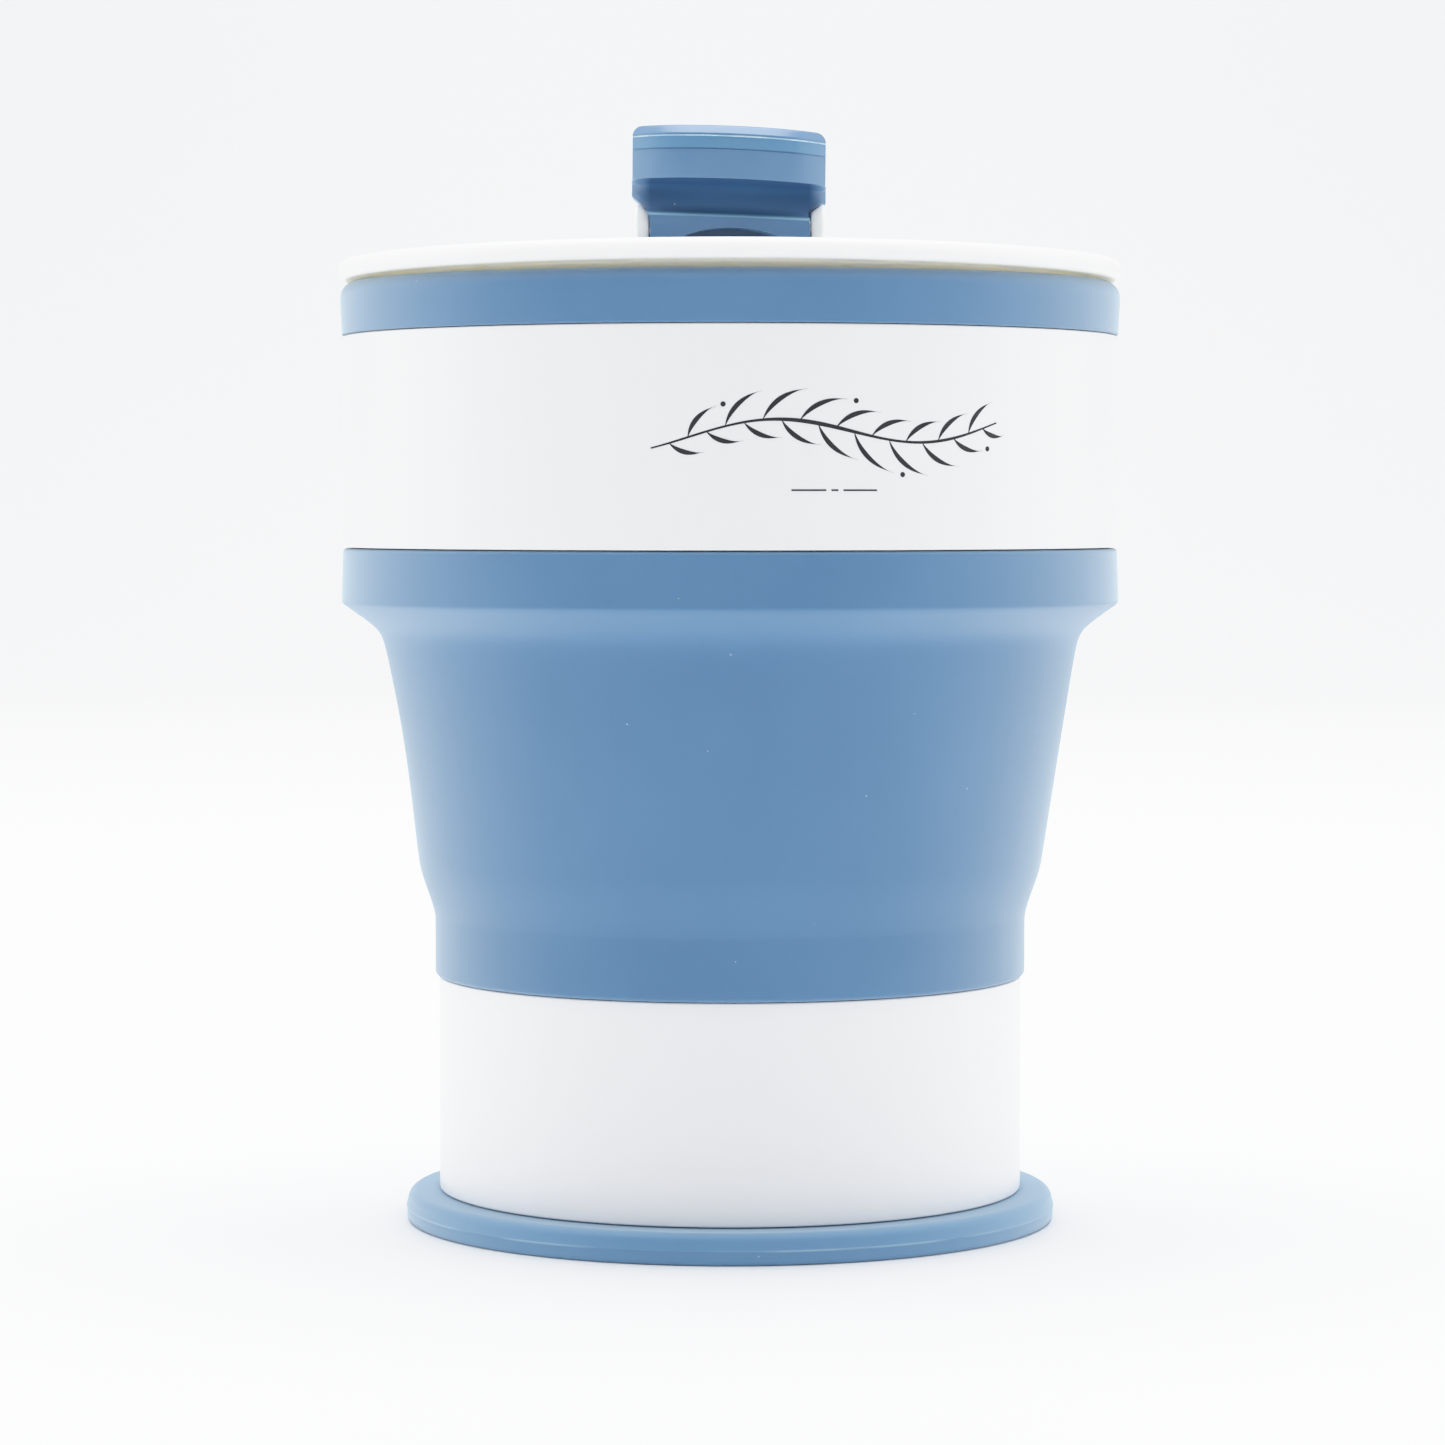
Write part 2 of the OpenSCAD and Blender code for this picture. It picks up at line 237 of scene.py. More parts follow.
sleeveLook = {
    "colour": rgb(0.945, 0.95, 0.955),
    "pale": rgb(0.955, 0.96, 0.965),
    "spread": (0.2, 0.8),
    "roughness": (0.32, 0.37),
    "glossSpread": (0.1, 0.9),
    "cloud": 16,
    "grain": 900,
    "grainDepth": 0.000004,
}


def sleeveFinish(look):
    finish = Finish(
        "whiteSleevePlastic", Specular_IOR_Level=0.5, Coat_Weight=0.1, Coat_Roughness=0.35
    )
    place = finish.place()
    cloud = finish.noise(place, look["cloud"])
    finish.grained(look, place)
    return finish.wear(Base_Color=finish.mottle(look, cloud), Roughness=finish.gloss(look, cloud))


lidLook = {
    "colour": rgb(0.955, 0.945, 0.905),
    "pale": rgb(0.965, 0.955, 0.92),
    # painted warm glow for the skirt and the underside
    "gapGlow": rgb(0.98, 0.93, 0.79),
    "gapGlowRise": 0.0004,
    "gapGlowFade": 0.0004,
    "spread": (0.35, 0.65),
    "roughness": (0.33, 0.42),
    "cloud": 30,
    "grain": 1400,
    "grainDepth": 0.000006,
}


def lidFinish(look, plateZ):
    # painted warm glow: the underside and the skirt turn a warm pale yellow just above the plate's
    # lower face, standing in for light through the plastic and bounced in the gap
    finish = Finish(
        "warmWhiteLidPlastic",
        Specular_IOR_Level=0.45,
        Subsurface_Weight=0.8,
        Subsurface_Radius=Vector((1.0, 0.9, 0.65)),
        Subsurface_Scale=0.008,
    )
    place = finish.place()
    cloud = finish.noise(place, look["cloud"])
    gapGlowTop = plateZ / metre + look["gapGlowRise"]
    gapGlow = finish.ramp(finish.axes(place)[2], gapGlowTop, gapGlowTop - look["gapGlowFade"])
    finish.grained(look, place)
    return finish.wear(
        Base_Color=finish.blend(finish.mottle(look, cloud), look["gapGlow"], gapGlow),
        Roughness=finish.gloss(look, cloud),
    )


earLook = {
    "colour": rgb(0.95, 0.99, 1.0),
    "pale": rgb(0.97, 1.0, 1.0),
    "spread": (0.35, 0.65),
    "roughness": (0.34, 0.44),
    "cloud": 120,
    "grain": 2200,
    "grainDepth": 0.00001,
}


def earFinish(look):
    finish = Finish(
        "frostedEarPlastic",
        Specular_IOR_Level=0.5,
        Subsurface_Weight=0.1,
        Subsurface_Radius=Vector((1.0, 1.0, 1.0)),
        Subsurface_Scale=0.002,
    )
    place = finish.place()
    cloud = finish.noise(place, look["cloud"], 3.0)
    finish.grained(look, place)
    return finish.wear(Base_Color=finish.mottle(look, cloud), Roughness=finish.gloss(look, cloud))


leverLook = {
    "colour": rgb(0.088, 0.200, 0.375),
    "pale": rgb(0.102, 0.222, 0.402),
    "spread": (0.35, 0.65),
    "roughness": (0.34, 0.44),
    "coat": 0.15,
    "cloud": 90,
    "grain": 3600,
    "grainDepth": 0.000007,
    "lint": rgb(0.60, 0.78, 0.90),
    "lintCells": 420,
    "lintSize": 0.00008,
    "lintShare": 0.2,
    "lintTint": 0.6,
    "behindFront": 1.5,
    # painted shade: the dark colour for the groove and the neck
    "groove": rgb(0.010, 0.066, 0.180),
    "grooveStart": (0.36, 0.6),
    "grooveEnds": (0.5, 2.1),
    "grooveTint": (0.55, 0.97),
    "grooveFade": 0.4,
    "grooveFoot": 0.1,
    "grooveOver": 0.02,
    "grooveRough": 0.5,
    "neckUnder": 0.25,
    "neckShadeShare": 0.4,
    # painted light: a paler colour for the strip between crease and seam
    "stripLight": rgb(0.090, 0.245, 0.440),
    "stripLightShare": 0.7,
    # painted highlight: the paler colour along the ledge's rounded edge
    "ledge": rgb(0.170, 0.360, 0.520),
    "ledgeHighlightFade": (0.3, 0.1),
    "ledgeHighlightShare": 0.8,
    # painted shade: the dark colour inside the arched recess
    "arch": rgb(0.012, 0.034, 0.078),
    "archShadeOver": 0.1,
    "archShadeFade": (0.3, 0.05),
    "archShadeShare": 0.85,
}


def leverFinish(look, shape, edgeZ):
    # painted shade darkens the colour inside the thumb groove, on the neck under the head and in
    # the arched recess; painted light makes the strip under the seam and the ledge's rounded edge
    # paler
    finish = Finish("blueLeverPlastic", Specular_IOR_Level=0.5, Coat_Roughness=0.2)
    place = finish.place()
    x, y, z = finish.axes(place)
    cloud = finish.noise(place, look["cloud"], 3.0)
    across = x * metre
    behind = y * metre
    height = z * metre - edgeZ + across * math.tan(math.radians(shape["roll"]))
    ledge, lip = shape["ledge"], shape["lip"]
    atFront = behind < shape["back"] - look["behindFront"]
    beforePin = behind < pinCentre.y
    front = shape["frontR"] - (shape["frontR"] ** 2 - across * across) ** 0.5
    ends = [shape["half"] - margin for margin in look["grooveEnds"]]
    # painted shade in the thumb groove, darkest at its top
    grooveShade = (
        finish.ramp(behind - front, *look["grooveStart"])
        * finish.ramp(abs(across), *ends)
        * finish.ramp(height, ledge, lip - look["grooveFade"], *look["grooveTint"])
        * (height > ledge + look["grooveFoot"])
        * (height < lip + look["grooveOver"])
        * atFront
    )
    # painted shade inside the arched recess under the neck
    archZ = height - (shape["archTop"] - shape["archR"])
    archShadeDepths = [shape["archBack"] - margin for margin in look["archShadeFade"]]
    archShade = (
        (across * across + archZ * archZ < shape["archR"] ** 2)
        * (height < shape["archTop"] + look["archShadeOver"])
        * (height > 0.0)
        * finish.ramp(behind, *archShadeDepths)
        * beforePin
    )
    # painted shade on the neck under the overhanging head
    neckShade = (height < ledge - look["neckUnder"]) * beforePin
    # painted highlight along the ledge's rounded edge
    ledgeHighlight = finish.ramp(abs(height - ledge), *look["ledgeHighlightFade"]) * beforePin
    # painted light on the strip between crease and seam
    stripLit = (height > shape["crease"]) * (height < shape["seam"]) * atFront
    colour = finish.mottle(look, cloud)
    colour = finish.blend(colour, look["stripLight"], stripLit * look["stripLightShare"])
    colour = finish.blend(colour, look["groove"], neckShade * look["neckShadeShare"])
    colour = finish.blend(colour, look["groove"], grooveShade)
    colour = finish.blend(colour, look["ledge"], ledgeHighlight * look["ledgeHighlightShare"])
    colour = finish.blend(colour, look["arch"], archShade * look["archShadeShare"])
    lint = finish.specks(look, place)
    finish.grained(look, place)
    return finish.wear(
        Base_Color=finish.blend(colour, look["lint"], lint * look["lintTint"]),
        Roughness=finish.gloss(look, cloud) + grooveShade * look["grooveRough"],
        Coat_Weight=(1.0 - grooveShade) * look["coat"],
    )


# painted glints along the lever's mould seam: paler blue spots on the thin ridge
seamGlintLook = {
    "colour": rgb(0.30, 0.50, 0.66),
    "pale": rgb(0.60, 0.78, 0.90),
    "spread": (0.42, 0.62),
    "glossSpread": (0.42, 0.62),
    "roughness": (0.4, 0.2),
    "cloud": 420,
}


def seamGlintFinish(look):
    finish = Finish("leverSeamGlint", Specular_IOR_Level=0.6)
    cloud = finish.noise(finish.place(), look["cloud"], 3.0)
    return finish.wear(Base_Color=finish.mottle(look, cloud), Roughness=finish.gloss(look, cloud))


pinLook = {
    "colour": rgb(0.50, 0.51, 0.53),
    "pale": rgb(0.66, 0.67, 0.69),
    "spread": (0.3, 0.7),
    "roughness": (0.22, 0.38),
    "cloud": 900,
    "stretch": 14.0,
    "grainDepth": 0.000006,
}


def pinFinish(look):
    finish = Finish("turnedSteel", Metallic=1.0)
    x, y, z = finish.axes(finish.place())
    along = finish.node("ShaderNodeCombineXYZ", sockets={0: x * look["stretch"], 1: y, 2: z})
    rings = finish.noise(along, look["cloud"], 3.0)
    finish.bump(rings, look["grainDepth"])
    return finish.wear(Base_Color=finish.mottle(look, rings), Roughness=finish.gloss(look, rings))


inkLook = {
    "colour": rgb(0.010, 0.011, 0.013),
    "pale": rgb(0.022, 0.023, 0.026),
    "spread": (0.0, 1.0),
    "roughness": (0.34, 0.5),
    "cloud": 700,
}


def inkFinish(look):
    finish = Finish("blackInk", Specular_IOR_Level=0.4)
    cloud = finish.noise(finish.place(), look["cloud"], 3.0)
    return finish.wear(Base_Color=finish.mottle(look, cloud), Roughness=finish.gloss(look, cloud))


floorLook = {
    "colour": rgb(0.88, 0.89, 0.91),
    "pale": rgb(0.90, 0.905, 0.92),
    "spread": (0.0, 1.0),
    "roughness": (0.45, 0.55),
    "cloud": 2.5,
}


def floorFinish(look):
    finish = Finish("paleFloor", Specular_IOR_Level=0.3)
    cloud = finish.noise(finish.place(), look["cloud"])
    return finish.wear(Base_Color=finish.mottle(look, cloud), Roughness=finish.gloss(look, cloud))


def soften(corners, steps=6):
    # rounds the corners (x, y, radius) of a closed outline with arcs
    points = []
    count = len(corners)
    for i, (x, y, radius) in enumerate(corners):
        here = Vector((x, y))
        if radius <= 0:
            points.append((x, y))
            continue
        before = Vector(corners[i - 1][:2]) - here
        after = Vector(corners[(i + 1) % count][:2]) - here
        half = before.angle(after) / 2
        reach = radius / math.tan(half)
        start = here + before.normalized() * reach
        end = here + after.normalized() * reach
        inward = (before.normalized() + after.normalized()).normalized()
        middle = here + inward * radius / math.sin(half)
        first = math.atan2(start.y - middle.y, start.x - middle.x)
        sweep = math.atan2(end.y - middle.y, end.x - middle.x) - first
        sweep = (sweep + math.pi) % turn - math.pi
        for k in range(steps + 1):
            angle = first + sweep * k / steps
            on = (middle.x + radius * math.cos(angle), middle.y + radius * math.sin(angle))
            points.append(on)
    return points


def makePiece(name, points, faces, finish, sharp=35):
    mesh = bpy.data.meshes.new(name)
    mesh.from_pydata([Vector(p) / metre for p in points], [], faces)
    work = bmesh.new()
    work.from_mesh(mesh)
    bmesh.ops.remove_doubles(work, verts=work.verts, dist=1e-7)
    bmesh.ops.recalc_face_normals(work, faces=work.faces)
    work.to_mesh(mesh)
    work.free()
    mesh.shade_smooth()
    mesh.set_sharp_from_angle(angle=math.radians(sharp))
    piece = bpy.data.objects.new(name, mesh)
    bpy.context.scene.collection.objects.link(piece)
    if finish:
        mesh.materials.append(finish)
    return piece


def evenShade(piece):
    smoother = piece.modifiers.new("evenShade", "WEIGHTED_NORMAL")
    smoother.keep_sharp = True
    smoother.weight = 80
    return piece


def turned(name, outline, finish, centre=(0, 0), segments=192):
    # turns a closed outline (radius, height[, share of the centre's offset]) round the Z axis
    points = []
    rings = []
    for entry in outline:
        radius, height = entry[:2]
        share = entry[2] if len(entry) > 2 else 1
        x, y = centre[0] * share, centre[1] * share
        if radius < 1e-6:
            rings.append([len(points)] * segments)
            points.append((x, y, height))
            continue
        rings.append([len(points) + i for i in range(segments)])
        for i in range(segments):
            angle = turn * i / segments
            points.append((x + radius * math.cos(angle), y + radius * math.sin(angle), height))
    faces = []
    for ring, after in zip(rings, rings[1:] + rings[:1]):
        for i in range(segments):
            j = (i + 1) % segments
            loop = [ring[i], ring[j], after[j], after[i]]
            kept = [v for k, v in enumerate(loop) if v != loop[k - 1]]
            if len(kept) > 2:
                faces.append(kept)
    return makePiece(name, points, faces, finish)


def layersToFaces(layers, first=0):
    # joins closed loops of 3D points, all of one length, and caps both ends
    size = len(layers[0])
    points = [p for layer in layers for p in layer]
    last = first + (len(layers) - 1) * size
    faces = [list(range(first, first + size)), list(range(last, last + size))]
    for low in range(first, last, size):
        for i in range(size):
            j = (i + 1) % size
            faces.append([low + i, low + j, low + size + j, low + size + i])
    return points, faces


def stacked(name, layers, finish, sharp=35):
    return makePiece(name, *layersToFaces(layers), finish, sharp)


def cutOrJoin(piece, other, operation):
    tool = piece.modifiers.new("tool", "BOOLEAN")
    tool.operation = operation
    tool.solver = "EXACT"
    tool.object = other
    bpy.context.view_layer.update()
    evaluated = piece.evaluated_get(bpy.context.evaluated_depsgraph_get())
    result = bpy.data.meshes.new_from_object(evaluated)
    piece.modifiers.clear()
    piece.data = result
    bpy.data.objects.remove(other)
    return piece


def crossBar(name, radii, xs, y, z, segments=64):
    # a turned bar along X, as one radius for each place along it
    layers = []
    for radius, x in zip(radii, xs):
        angles = [turn * i / segments for i in range(segments)]
        layers.append([(x, y + radius * math.cos(a), z + radius * math.sin(a)) for a in angles])
    return stacked(name, layers, None)


coasterHigh = nodeBox("base_coaster")[1]
cupLow, cupHigh = nodeBox("silicone_base_cup")
foldLow, foldHigh = nodeBox("silicone_fold_wall")
collarHigh = nodeBox("silicone_rim_collar")[1]
lowSleeveLow, lowSleeveHigh = nodeBox("lower_sleeve")
topSleeveLow, topSleeveHigh = nodeBox("upper_sleeve")
lidLow, lidHigh = nodeBox("lid_plate")
pinLow, pinHigh = nodeBox("hinge_pin")
plugLow, plugHigh = nodeBox("sip_plug")

pushGap = 0.05
coasterTop = cupLow.z
foldZ = foldLow.z
collarZ = foldHigh.z
bandZ = topSleeveLow.z - pushGap
rimZ = topSleeveHigh.z + pushGap
topZ = collarHigh.z
lipZ = lowSleeveHigh.z + pushGap
pinCentre = (pinLow + pinHigh) / 2
pinR = (pinHigh.z - pinLow.z) / 2
plugY = (plugLow.y + plugHigh.y) / 2
print("frame read:", len(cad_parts), "nodes")


body = {
    "lipR": cupHigh.x,
    "lipStraight": 1.5,
    "lipRound": 2.0,
    "rimR": collarHigh.x,
    "rimSide": 2.6,
    "rimRound": 1.9,
    "flare": 0.97,
    "flareHeight": 7.0,
    "coneTopR": 42.35,
    "coneSteps": 90,
    "shoulderRise": 3.2,
    "shoulderSlope": 1.44,
    "shoulderR": 47.25,
    "softness": 1.3,
    "taper": 0.2,
    "wall": 2.1,
    "lowWallR": 34.05,
    "lowBoreR": 31.9,
    "topWallR": 45.55,
    "topBoreR": 43.3,
    "seatR": 43.9,
    "seatDepth": 7.9,
    "socketR": 29.05,
    "socketZ": 5.15,
    "floorTop": 6.9,
    "floorRound": 5.0,
    "swell": 0.27,
    "dent": 0.55,
    "dentZ": 58.0,
    "dentReach": 19.0,
}


def coneAt(z):
    # the cone's radius, with the small flare just above the lower lip
    coneR = body["lipR"] + body["flare"]
    slope = (body["coneTopR"] - coneR) / (collarZ - foldZ)
    flare = body["flare"] * ease((z - foldZ) / body["flareHeight"])
    return body["lipR"] + slope * (z - foldZ) + flare


def wallAt(z):
    # runs softly from the cone into the sloping shoulder
    below = collarZ + body["shoulderRise"] - z
    shoulder = body["shoulderR"] - body["shoulderSlope"] * below - 0.1
    apart = coneAt(z) - shoulder
    return (coneAt(z) + shoulder + math.sqrt(apart * apart + body["softness"] ** 2)) / 2


def boreAt(z):
    return min(wallAt(z) - body["wall"], body["topBoreR"])


def siliconeOutline():
    # corners are (radius, height, rounding)
    shoulderZ = collarZ + body["shoulderRise"]
    coneHeight = shoulderZ - 0.2 - foldZ
    steps = body["coneSteps"]
    heights = [foldZ + coneHeight * i / steps for i in range(steps + 1)]
    seatZ = topZ - body["seatDepth"]
    outside = [(wallAt(z), z, 0) for z in heights]
    inside = [(boreAt(z), z, 0) for z in reversed(heights)]
    return soften(
        [
            (0, body["socketZ"], 0),
            (body["socketR"], body["socketZ"], 0.2),
            (body["socketR"], coasterTop, 0.2),
            (body["lowWallR"], coasterTop, 0.4),
            (body["lowWallR"], lipZ, 0.1),
            (body["lipR"], lipZ, 0.55),
            (body["lipR"], foldZ - body["lipStraight"], body["lipRound"]),
        ]
        + outside
        + [
            (body["shoulderR"], shoulderZ + 0.15, 0.45),
            (body["shoulderR"] - body["taper"], bandZ, 0.5),
            (body["topWallR"], bandZ, 0.1),
            (body["topWallR"], rimZ, 0.1),
            (body["rimR"] - body["taper"], rimZ, 0.2),
            (body["rimR"], topZ - body["rimSide"], 0.5),
            (body["rimR"], topZ, body["rimRound"]),
            (body["seatR"], topZ, 0.6),
            (body["seatR"], seatZ, 0.2),
            (body["topBoreR"], seatZ, 0.2),
            (body["topBoreR"], shoulderZ + 1.5, 0.5),
        ]
        + inside
        + [
            (body["lowBoreR"], lipZ + 1, 1.0),
            (body["lowBoreR"], body["floorTop"], body["floorRound"]),
            (0, body["floorTop"], 0),
        ]
    )


def pressed(piece):
    # the rim swells up a little at its sides, and the wall is pressed in a little on the left
    for vertex in piece.data.vertices:
        x, y, z = vertex.co * metre
        side = x / body["rimR"]
        share = max(0.0, z - rimZ) / (topZ - rimZ)
        away = min(abs(z - body["dentZ"]) / body["dentReach"], 1.0)
        leftward = max(0.0, -x / body["coneTopR"])
        dent = body["dent"] * math.cos(away * math.pi / 2) ** 2 * leftward**2
        vertex.co += Vector((dent, 0, share * side * side * body["swell"])) / metre
    return evenShade(piece)


blueSilicone = siliconeFinish("blueSilicone", siliconeLook)
siliconeBody = pressed(turned("siliconeBody", siliconeOutline(), blueSilicone))
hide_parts("silicone_base_cup", "silicone_fold_wall", "silicone_rim_collar")
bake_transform(siliconeBody)
print("silicone body made")


coaster = {
    "radius": coasterHigh.x,
    "topRound": 1.2,
    "lowRound": 0.6,
    "hollowR": 33.0,
    "hollowDepth": 0.9,
    "spigotR": 29.0,
    "taper": 0.45,
    "seamZ": coasterLook["lineZ"],
    "seamProud": 0.05,
    "seamTop": 0.05,
    "seamFoot": 0.12,
}


def coasterOutline():
    # a fine mould line stands proud of the edge
    size = coaster
    edge = size["radius"] - size["seamProud"]
    return soften(
        [
            (0, size["hollowDepth"], 0),
            (size["hollowR"], size["hollowDepth"], 0.3),
            (size["hollowR"], 0, 0.3),
            (size["radius"] - 0.12, 0, size["lowRound"]),
            (edge, size["seamZ"] - size["seamFoot"], 0),
            (size["radius"], size["seamZ"] - size["seamTop"], 0),
            (size["radius"], size["seamZ"] + size["seamTop"], 0),
            (edge, size["seamZ"] + size["seamFoot"], 0),
            (size["radius"] - size["taper"], coasterTop, size["topRound"]),
            (size["spigotR"], coasterTop, 0),
            (size["spigotR"], coasterHigh.z, 0.3),
            (0, coasterHigh.z, 0),
        ]
    )


footSilicone = siliconeFinish("blueFootSilicone", coasterLook)
footCoaster = evenShade(turned("footCoaster", coasterOutline(), footSilicone))
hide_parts("base_coaster")
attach(footCoaster, "base")
print("foot coaster made")


sleeve = {"wall": 1.4, "round": 0.22, "inRound": 0.35, "seamGap": 0.1}


def sleeveOutline(low, high):
    outer = high.x
    inner = outer - sleeve["wall"]
    foot, top = low.z + sleeve["seamGap"], high.z - sleeve["seamGap"] / 2
    return soften(
        [
            (inner, foot, sleeve["inRound"]),
            (outer, foot, sleeve["round"]),
            (outer, top, sleeve["round"]),
            (inner, top, sleeve["inRound"]),
        ]
    )


whiteSleeve = sleeveFinish(sleeveLook)
lowOutline = sleeveOutline(lowSleeveLow, lowSleeveHigh)
lowerBand = evenShade(turned("lowerBand", lowOutline, whiteSleeve))
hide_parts("lower_sleeve")
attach(lowerBand, "base")
topOutline = sleeveOutline(topSleeveLow, topSleeveHigh)
upperBand = evenShade(turned("upperBand", topOutline, whiteSleeve, segments=256))
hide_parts("upper_sleeve")
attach(upperBand, "upper")
print("sleeves made")


# a leafy sprig drawn with a pen, with a broken rule under it; angles run to the right of the front
ornament = {
    "from": -10.9,
    "to": 40.3,
    "height": 95.3,
    "swing": 1.6,
    "waves": 1.15,
    "lag": 0.12,
    "climb": 1.6,
    "stem": 0.4,
    "stemThin": 0.45,
    "stemSwell": 0.75,
    "stemBeats": 2.3,
    "stemParts": 4,
    "leaves": 19,
    "leafFrom": 0.05,
    "leafSpan": 0.9,
    "leafLength": 6.0,
    "leafShares": (0.62, 0.38, 0.12),
    "leafBeat": 9.0,
    "leafWidth": 0.56,
    "leafPoint": 1.3,
    "leafTilt": 62,
    "leafBend": 0.55,
    "berry": 0.30,
    "berryReach": 1.15,
    "berries": (1, 7, 10, 16),
    "strokeSteps": 28,
    "proud": 0.02,
    "ruleHeight": 88.7,
    "ruleFrom": 8.4,
    "ruleTo": 20.6,
    "ruleWidth": 0.2,
    "ruleParts": ((0.0, 0.4), (0.46, 0.54), (0.6, 1.0)),
}
bandR = topSleeveHigh.x


def onBand(along, height, lift):
    # along is measured round the band from its front, to the right
    angle = along / bandR
    radius = bandR + lift
    return (radius * math.sin(angle), -radius * math.cos(angle), height)


def strokeLayers(path, width):
    # path(t) gives (along, height) and width(t) the stroke's breadth, for t from 0 to 1
    layers = []
    steps = ornament["strokeSteps"]
    low, high = -ornament["proud"], ornament["proud"]
    for i in range(steps + 1):
        t = i / steps
        a = path(max(t - 0.01, 0))
        b = path(min(t + 0.01, 1))
        run, climb = b[0] - a[0], b[1] - a[1]
        length = math.hypot(run, climb)
        here = path(t)
        half = max(width(t) / 2, 0.01)
        side = (-climb / length * half, run / length * half)
        left = (here[0] + side[0], here[1] + side[1])
        right = (here[0] - side[0], here[1] - side[1])
        corners = ((left, high), (right, high), (right, low), (left, low))
        layers.append([onBand(*corner, lift) for corner, lift in corners])
    return layers


def stemAt(t):
    size = ornament
    start, end = (math.radians(size[key]) * bandR for key in ("from", "to"))
    wave = size["swing"] * math.sin(turn * (size["waves"] * t - size["lag"]))
    return mix(start, end, t), size["height"] + wave + size["climb"] * (t - 0.5)


def stemWidth(t):
    # the pen presses harder and softer along the stem
    size = ornament
    swell = math.sin(math.pi * t) * (0.7 + 0.3 * math.cos(turn * size["stemBeats"] * t))
    return size["stem"] * (size["stemThin"] + size["stemSwell"] * swell)


def stemStrokes():
    parts = ornament["stemParts"]
    strokes = []
    for i in range(parts):
        start = i / parts
        strokes.append(
            strokeLayers(
                lambda t: stemAt(start + t / parts),
                lambda t: stemWidth(start + t / parts),
            )
        )
    return strokes


def leafWidth(t):
    return ornament["leafWidth"] * math.sin(math.pi * min(1, t + 0.06)) ** ornament["leafPoint"]


def leafStrokes(k):
    # one leaf, and the berry past its tip if it has one
    size = ornament
    t = size["leafFrom"] + size["leafSpan"] * k / (size["leaves"] - 1)
    side = 1 if k % 2 else -1
    least, middle, uneven = size["leafShares"]
    share = least + middle * math.sin(math.pi * t) + uneven * math.sin(size["leafBeat"] * k)
    length = size["leafLength"] * share
    root = stemAt(t)
    ahead = stemAt(t + 0.01)
    along = math.atan2(ahead[1] - root[1], ahead[0] - root[0])
    tilt = along + side * math.radians(size["leafTilt"])

    def leaf(u):
        bend = tilt - side * size["leafBend"] * u
        return root[0] + length * u * math.cos(bend), root[1] + length * u * math.sin(bend)

    strokes = [strokeLayers(leaf, leafWidth)]
    if k in size["berries"]:
        x, y = leaf(size["berryReach"])
        r = size["berry"]
        strokes.append(
            strokeLayers(
                lambda u: (x + r * (2 * u - 1), y),
                lambda u: 2 * r * math.sqrt(max(0, 1 - (2 * u - 1) ** 2)),
            )
        )
    return strokes


def ruleStrokes():
    size = ornament
    start, end = (math.radians(size[key]) * bandR for key in ("ruleFrom", "ruleTo"))
    strokes = []
    for low, high in size["ruleParts"]:
        strokes.append(
            strokeLayers(
                lambda u: (mix(start, end, mix(low, high, u)), size["ruleHeight"]),
                lambda u: size["ruleWidth"],
            )
        )
    return strokes


def makeSprig(finish):
    strokes = stemStrokes()
    for k in range(ornament["leaves"]):
        strokes += leafStrokes(k)
    strokes += ruleStrokes()
    points = []
    faces = []
    for layers in strokes:
        morePoints, moreFaces = layersToFaces(layers, len(points))
        points += morePoints
        faces += moreFaces
    return makePiece("penSprig", points, faces, finish, 60)


penSprig = makeSprig(inkFinish(inkLook))
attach(penSprig, "upper")
print("pen sprig made")


lid = {
    "radius": lidHigh.x,
    "plateZ": topZ + 0.6,
    "thick": 2.4,
    "dishR": 43.8,
    "dishDepth": 0.7,
    "skirtR": 43.5,
    "skirtWall": 1.7,
    "holeR": 5.2,
    "tip": 0.0063,
    "droop": 0.25,
}
lidZ = lid["plateZ"] + lid["thick"]
dishZ = lidZ - lid["dishDepth"]


def lidOutline():
    # corners are (radius, height, rounding, share of the hole's offset)
    skirtBoreR = lid["skirtR"] - lid["skirtWall"]
    corners = [
        (lid["holeR"], lid["plateZ"], 0.3, 1),
        (lid["holeR"], dishZ, 0.35, 1),
        (lid["dishR"] - 0.2, dishZ, 0.5, 0),
        (lid["dishR"], lidZ, 0.25, 0),
        (lid["radius"], lidZ, 1.1, 0),
        (lid["radius"] - 0.05, lid["plateZ"], 0.9, 0),
        (lid["skirtR"], lid["plateZ"], 0.3, 0),
        (lid["skirtR"], lidLow.z, 0.6, 0),
        (skirtBoreR, lidLow.z, 0.4, 0),
        (skirtBoreR, lid["plateZ"], 0.5, 0),
    ]
    outline = []
    for i, (x, y, radius, share) in enumerate(corners):
        # between the hole and the round lid the outline runs level
        ends = []
        for other in (corners[i - 1], corners[(i + 1) % len(corners)]):
            x2, y2 = other[:2] if other[3] == share else (lid["dishR"] / 2, y)
            ends.append((x2, y2, 0))
        arc = soften([ends[0], (x, y, radius), ends[1]])[1:-1]
        outline += [point + (share,) for point in arc]
    return outline


def tipped(piece):
    # the lid sits a little high at the front and bends down at its sides
    for vertex in piece.data.vertices:
        side = vertex.co.x * metre / lid["radius"]
        vertex.co.z -= vertex.co.y * lid["tip"] + side * side * lid["droop"] / metre
    return evenShade(piece)


warmLid = lidFinish(lidLook, lid["plateZ"])
lidShell = tipped(turned("lidShell", lidOutline(), warmLid, centre=(0, plugY)))
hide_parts("lid_plate")
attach(lidShell, "lid")
print("lid shell made")


ear = {
    "inX": 9.95,
    "outX": pinHigh.x,
    "inR": 1.9,
    "outR": 3.2,
    "draught": 0.028,
    "edge": 0.3,
    "foot": 0.2,
    "footSteps": (0.35, 0.8, 1.0),
    "sunk": 0.05,
    "turns": 32,
    "bore": pinR + 0.02,
    "boreFrom": 8,
    "boreTo": 14,
}


